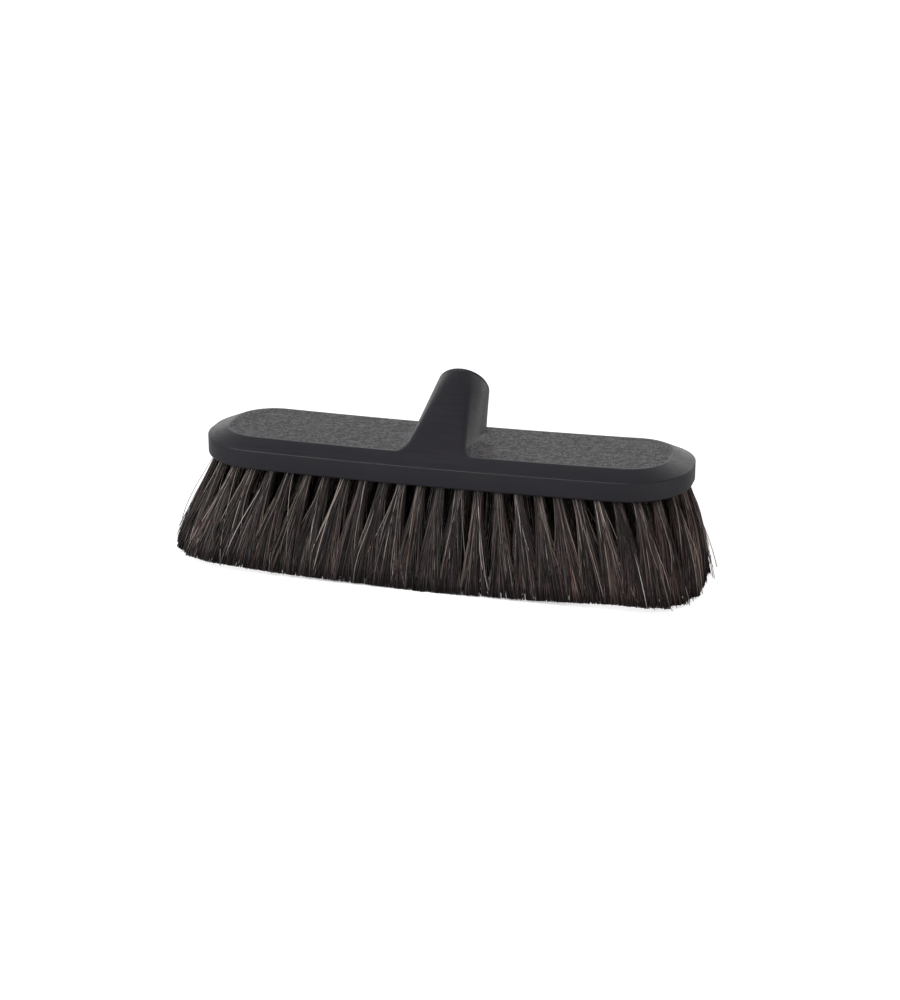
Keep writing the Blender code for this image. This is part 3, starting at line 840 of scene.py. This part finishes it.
def hair_looks(rng, hairs, right_share):
    """The hairs' radii (count, stations) and colours (count, stations, 3), with painted light and
    shade along each hair.
    """
    count = hairs.count
    tone = rng.choice(len(PALETTE), count, p=PALETTE_SHARES)
    white = rng.uniform(0, 1, count) < WHITE_SURFACE_SHARE
    tone = np.where(hairs.surface, np.where(white, WHITE_TONE, PALE_TONE), tone)
    # Edge hairs take only the dark tones: painted shade along the tuft's lower edge
    tone = np.where(hairs.edge, np.minimum(tone, LAST_DARK_TONE), tone)
    pale = tone >= PALE_TONE
    radii = rng.uniform(*HAIR_RADIUS_RANGE, count) * np.where(pale, PALE_WIDTH_FACTOR, 1)
    widening = np.where(hairs.edge, EDGE_WIDENING_SHARE, HAIR_WIDENING_SHARE)
    radii = radii[:, None] * (1 + widening[:, None] * STATIONS)

    lock_light = rng.uniform(*LOCK_LIGHT_RANGE, LOCKS)
    lock_tint = rng.normal(1, LOCK_TINT_SPREAD, (LOCKS, 3))
    hair_tint = np.where(pale[:, None], 1, lock_tint[hairs.lock])
    # The right end's hair: a redder tone of its own, and lighter as painted light
    end_tint_and_painted_light = 1 + right_share ** 2 * np.array(RIGHT_END_TINT_AND_PAINTED_LIGHT)
    hair_light = lock_light[hairs.lock] * rng.uniform(*HAIR_LIGHT_RANGE, count)
    colour = PALETTE[tone] * hair_tint * end_tint_and_painted_light * hair_light[:, None]

    # Painted light and shade along each hair: lighter in its middle, painted light at its root and
    # on its lower part, painted shade at its tip
    belly = np.sin(STATIONS * math.pi)[None]
    light = BASE_LIGHT + BELLY_PAINTED_LIGHT * belly * rng.uniform(*BELLY_PAINTED_LIGHT_SHARES, count)[:, None]
    # In the right half the roots get painted shade and the lower part more painted light
    root_painted_light = ROOT_PAINTED_LIGHT - RIGHT_ROOT_PAINTED_SHADE * right_share
    lower_painted_light = LOWER_PAINTED_LIGHT + RIGHT_LOWER_PAINTED_LIGHT * right_share
    light = light * (
        1 + root_painted_light * (1 - STATIONS) ** ROOT_PAINTED_LIGHT_POWER
        + lower_painted_light * STATIONS ** LOWER_PAINTED_LIGHT_POWER)
    light = light * (1 - TIP_PAINTED_SHADE * STATIONS ** TIP_PAINTED_SHADE_POWER)
    return radii, np.minimum(BRIGHTEST, colour[:, None, :] * light[:, :, None])


def grow_tuft(rng, place, along, count, reach_along, across_range, surface_count=0):
    """A tuft's centre lines, radii and colours."""
    place = np.array(place)
    along = np.array(along)
    outward = np.array((along[1], -along[0]))
    if outward @ place < 0:
        outward = -outward
    end_share = place[0] / RING_HALF_LENGTH
    right_share = max(0, end_share)
    hairs = gather_hairs(
        rng, along[0], right_share, count, reach_along, across_range, surface_count)
    middle = tuft_line(place, end_share, right_share)
    lines = hair_lines(rng, hairs, middle, along, outward)
    return lines, *hair_looks(rng, hairs, right_share)


def hair_uvs(count, stations):
    """UV corners of all side faces and then of all tips, with a cell of its own for each hair."""
    columns = math.ceil(math.sqrt(count))
    rows = math.ceil(count / columns)
    cell = np.stack((np.arange(count) % columns, np.arange(count) // columns), axis=1)
    u = UV_LEFT + UV_WIDTH * np.arange(HAIR_SIDES + 1) / HAIR_SIDES
    v = UV_BOTTOM + UV_HEIGHT * np.arange(stations) / (stations - 1)
    sides = np.empty((count, stations - 1, HAIR_SIDES, 4, 2))
    sides[..., 0, 0] = sides[..., 1, 0] = u[:-1]
    sides[..., 2, 0] = sides[..., 3, 0] = u[1:]
    sides[..., 0, 1] = sides[..., 3, 1] = v[:-1, None]
    sides[..., 1, 1] = sides[..., 2, 1] = v[1:, None]
    tips = np.broadcast_to(np.array(UV_TIP), (count, HAIR_SIDES, 2))
    grid = np.array((columns, rows))
    sides = (sides + cell[:, None, None, None, :]) / grid
    tips = (tips + cell[:, None, :]) / grid
    return np.concatenate((sides.ravel(), tips.ravel())).astype(np.float32)


def hair_object(name, lines, radii, colours, rng, material):
    """Every centre line becomes a three-sided tube with a closed tip, in one mesh."""
    count, stations, _ = lines.shape
    tangent = np.gradient(lines, axis=1)
    tangent /= np.linalg.norm(tangent, axis=2, keepdims=True)
    side = np.cross(tangent, np.array((0.0, 1.0, 0.0)))
    side /= np.linalg.norm(side, axis=2, keepdims=True)
    depth = np.cross(tangent, side)
    turn = rng.uniform(0, 2 * math.pi, count)
    angles = turn[:, None] + 2 * math.pi * np.arange(HAIR_SIDES) / HAIR_SIDES
    verts = (
        lines[:, :, None, :]
        + radii[:, :, None, None] * (
            np.cos(angles)[:, None, :, None] * side[:, :, None, :]
            + np.sin(angles)[:, None, :, None] * depth[:, :, None, :])
    )
    index = np.arange(count * stations * HAIR_SIDES).reshape(count, stations, HAIR_SIDES)
    near = index[:, :-1]
    far = index[:, 1:]
    corners = (near, far, np.roll(far, -1, axis=2), np.roll(near, -1, axis=2))
    quads = np.stack(corners, axis=-1).reshape(-1, 4)
    tips = index[:, -1, ::-1]
    mesh = bpy.data.meshes.new(name)
    mesh.from_pydata(verts.reshape(-1, 3).tolist(), [], quads.tolist() + tips.tolist())
    layer = mesh.uv_layers.new(name="OFBake")
    layer.data.foreach_set("uv", hair_uvs(count, stations))
    attribute = mesh.color_attributes.new("hair_colour_and_painted_light", "FLOAT_COLOR", "POINT")
    rgba = np.ones((count, stations, HAIR_SIDES, 4), np.float32)
    rgba[..., :3] = colours[:, :, None, :]
    attribute.data.foreach_set("color", rgba.ravel())
    mesh.shade_smooth()
    mesh.materials.append(material)
    obj = add_object(name, mesh)
    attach(obj, "root")
    return obj


def make_hair(rim, rows):
    material = hair_material()
    for number, (place, along) in enumerate(rim, start=1):
        rng = np.random.default_rng(RIM_SEED + number)
        tuft = grow_tuft(
            rng, place, along, HAIRS_PER_RIM_TUFT, RIM_REACH_ALONG, RIM_ACROSS_RANGE,
            SURFACE_HAIRS_PER_RIM_TUFT)
        obj = hair_object(f"rim_hair_{number:02d}", *tuft, rng, material)
        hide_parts(f"rim_tuft_{number:02d}")
    for row, (label, places) in enumerate(rows):
        rng = np.random.default_rng(INNER_SEED + row)
        tufts = [
            grow_tuft(
                rng, place, (1.0, 0.0), HAIRS_PER_INNER_TUFT, INNER_REACH_ALONG,
                INNER_ACROSS_RANGE)
            for place in places
        ]
        lines, radii, colours = (np.concatenate(part) for part in zip(*tufts))
        obj = hair_object(f"inner_hair_{label}", lines, radii, colours, rng, material)
        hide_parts(f"inner_tuft_row_{label}")


# ---------------------------------------------------------------- studio

FLOOR_HALF_SIZE = 6.0
FLOOR_COLOUR = (0.5, 0.5, 0.5, 1)

# The floor glows with painted light on the object: from behind it, most at the left, and from its
# right end
FAR_SPAN, FAR_GLOW = (0.04, 0.4), (0, 0.55)
LENGTH_SPAN, LENGTH_FACTORS = (-0.4, 0.2), (1.0, 0.4)
RIGHT_SPAN, RIGHT_GLOW = (0.16, 0.36), (0, 0.55)
FRONT_SPAN, FRONT_FACTORS = (-0.05, 0.12), (1, 0)

# What the camera sees of the floor: white, with a painted shadow where hair stands closely over it
PAINTED_SHADOW_SAMPLES = 8
PAINTED_SHADOW_DISTANCE = 0.008
PAINTED_SHADOW_SPAN, PAINTED_SHADOW_LEVELS = (0.06, 0.32), (0.03, 0.88)

# The world's light: most from behind, more near the horizon and again higher up, less overhead
BEHIND_SPAN, BEHIND_LEVELS = (0.45, 0.85), (0.19, 0.97)
ABOVE_SPAN, ABOVE_FACTORS = (0.42, 0.85), (1.0, 0.50)
LOW_SPAN, LOW_FACTORS = (0.05, 0.30), (1.85, 1.0)
HIGH_SPAN, HIGH_FACTORS = (0.35, 0.43), (1.0, 1.75)
WORLD_SEEN_LEVEL = 1.0

KEY_LOCATION = (-0.79, -1.13, 1.16)
KEY_TARGET = (0, 0, 0.04)
KEY_SIZE = 1.8
KEY_POWER = 26

CAMERA_LOCATION = (0.308162, -1.094387, 0.432642)
CAMERA_AZIMUTH = math.radians(15.654)
CAMERA_ELEVATION = math.radians(19.260)
CAMERA_LENS = 79.17
CAMERA_SENSOR_WIDTH = 36
CAMERA_CLIP_START = 0.05
CAMERA_CLIP_END = 50


def floor_material():
    material, tree, _ = new_material("white_floor")
    tree.nodes.clear()
    output = add_node(tree, "ShaderNodeOutputMaterial")
    diffuse = add_node(tree, "ShaderNodeBsdfDiffuse")
    diffuse.inputs["Color"].default_value = FLOOR_COLOUR
    place = split_coordinates(tree, "Object")
    # Painted light: the floor's glow lights the object, but not the camera's view of the floor
    far = ranged(tree, place["Y"], FAR_SPAN, FAR_GLOW)
    by_length = ranged(tree, place["X"], LENGTH_SPAN, LENGTH_FACTORS)
    to_the_right = ranged(tree, place["X"], RIGHT_SPAN, RIGHT_GLOW)
    in_front = ranged(tree, place["Y"], FRONT_SPAN, FRONT_FACTORS)
    beside = calculated(tree, "MULTIPLY", to_the_right, in_front)
    painted_floor_light = calculated(tree, "MULTIPLY_ADD", far, by_length, beside)
    # Painted shadow: ambient occlusion darkens the floor for the camera where hair stands closely
    # over it
    painted_shadow = add_node(tree, "ShaderNodeAmbientOcclusion", samples=PAINTED_SHADOW_SAMPLES)
    painted_shadow.inputs["Distance"].default_value = PAINTED_SHADOW_DISTANCE
    seen = ranged(tree, painted_shadow.outputs["AO"], PAINTED_SHADOW_SPAN, PAINTED_SHADOW_LEVELS)
    glow = add_node(tree, "ShaderNodeEmission")
    tree.links.new(lit_or_seen(tree, painted_floor_light, seen), glow.inputs["Strength"])
    lit = add_node(tree, "ShaderNodeAddShader")
    tree.links.new(diffuse.outputs[0], lit.inputs[0])
    tree.links.new(glow.outputs[0], lit.inputs[1])

    # From below the floor is clear, so that the underside can be looked at
    clear = add_node(tree, "ShaderNodeBsdfTransparent")
    geometry = add_node(tree, "ShaderNodeNewGeometry")
    by_side = add_node(tree, "ShaderNodeMixShader")
    tree.links.new(geometry.outputs["Backfacing"], by_side.inputs[0])
    tree.links.new(lit.outputs[0], by_side.inputs[1])
    tree.links.new(clear.outputs[0], by_side.inputs[2])
    tree.links.new(by_side.outputs[0], output.inputs["Surface"])
    return material


def make_floor():
    mesh = bpy.data.meshes.new("floor")
    size = FLOOR_HALF_SIZE
    corners = [(-size, -size, 0), (size, -size, 0), (size, size, 0), (-size, size, 0)]
    mesh.from_pydata(corners, [], [(0, 1, 2, 3)])
    floor = add_object("floor", mesh)
    mesh.materials.append(floor_material())


def make_world():
    world = bpy.data.worlds.new("studio")
    bpy.context.scene.world = world
    world.use_nodes = True
    tree = world.node_tree
    background = tree.nodes["Background"]
    direction = split_coordinates(tree, "Generated")
    studio = ranged(tree, direction["Y"], BEHIND_SPAN, BEHIND_LEVELS)
    bands = ((ABOVE_SPAN, ABOVE_FACTORS), (LOW_SPAN, LOW_FACTORS), (HIGH_SPAN, HIGH_FACTORS))
    for span, factors in bands:
        band = ranged(tree, direction["Z"], span, factors)
        studio = calculated(tree, "MULTIPLY", studio, band)
    level = lit_or_seen(tree, studio, WORLD_SEEN_LEVEL)
    tree.links.new(level, background.inputs["Strength"])
    background.inputs["Color"].default_value = (1, 1, 1, 1)


def make_key_light():
    data = bpy.data.lights.new("key", "AREA")
    data.shape = "RECTANGLE"
    data.size = data.size_y = KEY_SIZE
    data.energy = KEY_POWER
    light = add_object("key", data)
    light.location = KEY_LOCATION
    light.rotation_mode = "QUATERNION"
    light.rotation_quaternion = (Vector(KEY_TARGET) - Vector(KEY_LOCATION)).to_track_quat("-Z", "Y")


def make_camera():
    data = bpy.data.cameras.new("camera")
    data.sensor_width = CAMERA_SENSOR_WIDTH
    data.lens = CAMERA_LENS
    data.clip_start = CAMERA_CLIP_START
    data.clip_end = CAMERA_CLIP_END
    camera = add_object("camera", data)
    camera.location = CAMERA_LOCATION
    back = Vector((
        math.sin(CAMERA_AZIMUTH) * math.cos(CAMERA_ELEVATION),
        -math.cos(CAMERA_AZIMUTH) * math.cos(CAMERA_ELEVATION),
        math.sin(CAMERA_ELEVATION)))
    camera.rotation_mode = "QUATERNION"
    camera.rotation_quaternion = (-back).to_track_quat("-Z", "Y")
    bpy.context.scene.camera = camera


def main():
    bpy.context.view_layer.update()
    rim = ring_places(RIM_TUFTS)
    rows = inner_places()
    make_block(rim, rows)
    make_hair(rim, rows)
    make_floor()
    make_world()
    make_key_light()
    make_camera()
    bpy.context.scene.view_settings.view_transform = "Standard"


main()
